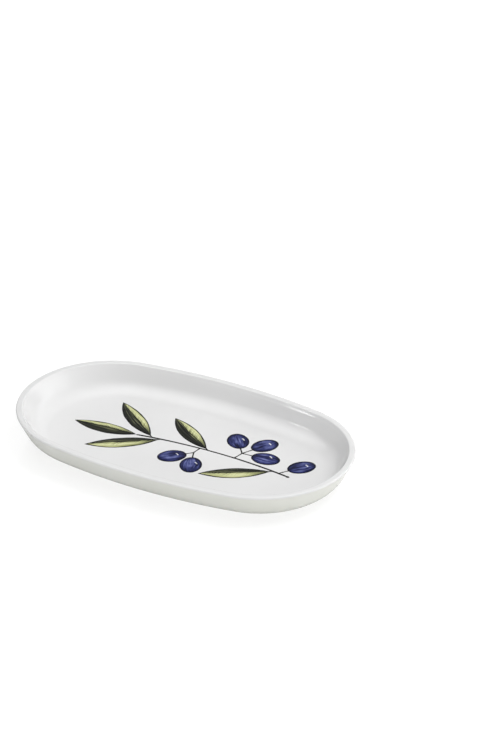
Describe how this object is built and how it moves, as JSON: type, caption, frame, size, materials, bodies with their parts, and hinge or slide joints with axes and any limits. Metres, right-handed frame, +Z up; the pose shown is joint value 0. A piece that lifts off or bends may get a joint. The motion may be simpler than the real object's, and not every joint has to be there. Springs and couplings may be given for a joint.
{
  "type": "olive dish",
  "caption": "Shallow oval glazed ceramic dish with rounded ends, a leaning wall, a foot ring and a painted olive sprig on its floor, for serving olives.",
  "frame": {"origin": "on the table plane, under the middle of the dish", "axes": "+X along the dish, +Y across it, +Z up"},
  "size_m": [0.24, 0.138, 0.0235],
  "materials": {
    "fired_body": "matte",
    "inside_glaze": "gloss",
    "outside_glaze": "gloss",
    "base_glaze": "gloss",
    "twig_enamel": "gloss",
    "leaf_enamel": "gloss",
    "olive_enamel": "gloss"
  },
  "bodies": {
    "root": {"dish_body": "fired_body", "inside_glaze": "inside_glaze", "outside_glaze": "outside_glaze", "base_glaze": "base_glaze", "twig": "twig_enamel", "leaf_1": "leaf_enamel", "leaf_2": "leaf_enamel", "leaf_3": "leaf_enamel", "leaf_4": "leaf_enamel", "leaf_5": "leaf_enamel", "olive_1": "olive_enamel", "olive_2": "olive_enamel", "olive_3": "olive_enamel", "olive_4": "olive_enamel", "olive_5": "olive_enamel", "olive_6": "olive_enamel"}
  },
  "joints": []
}
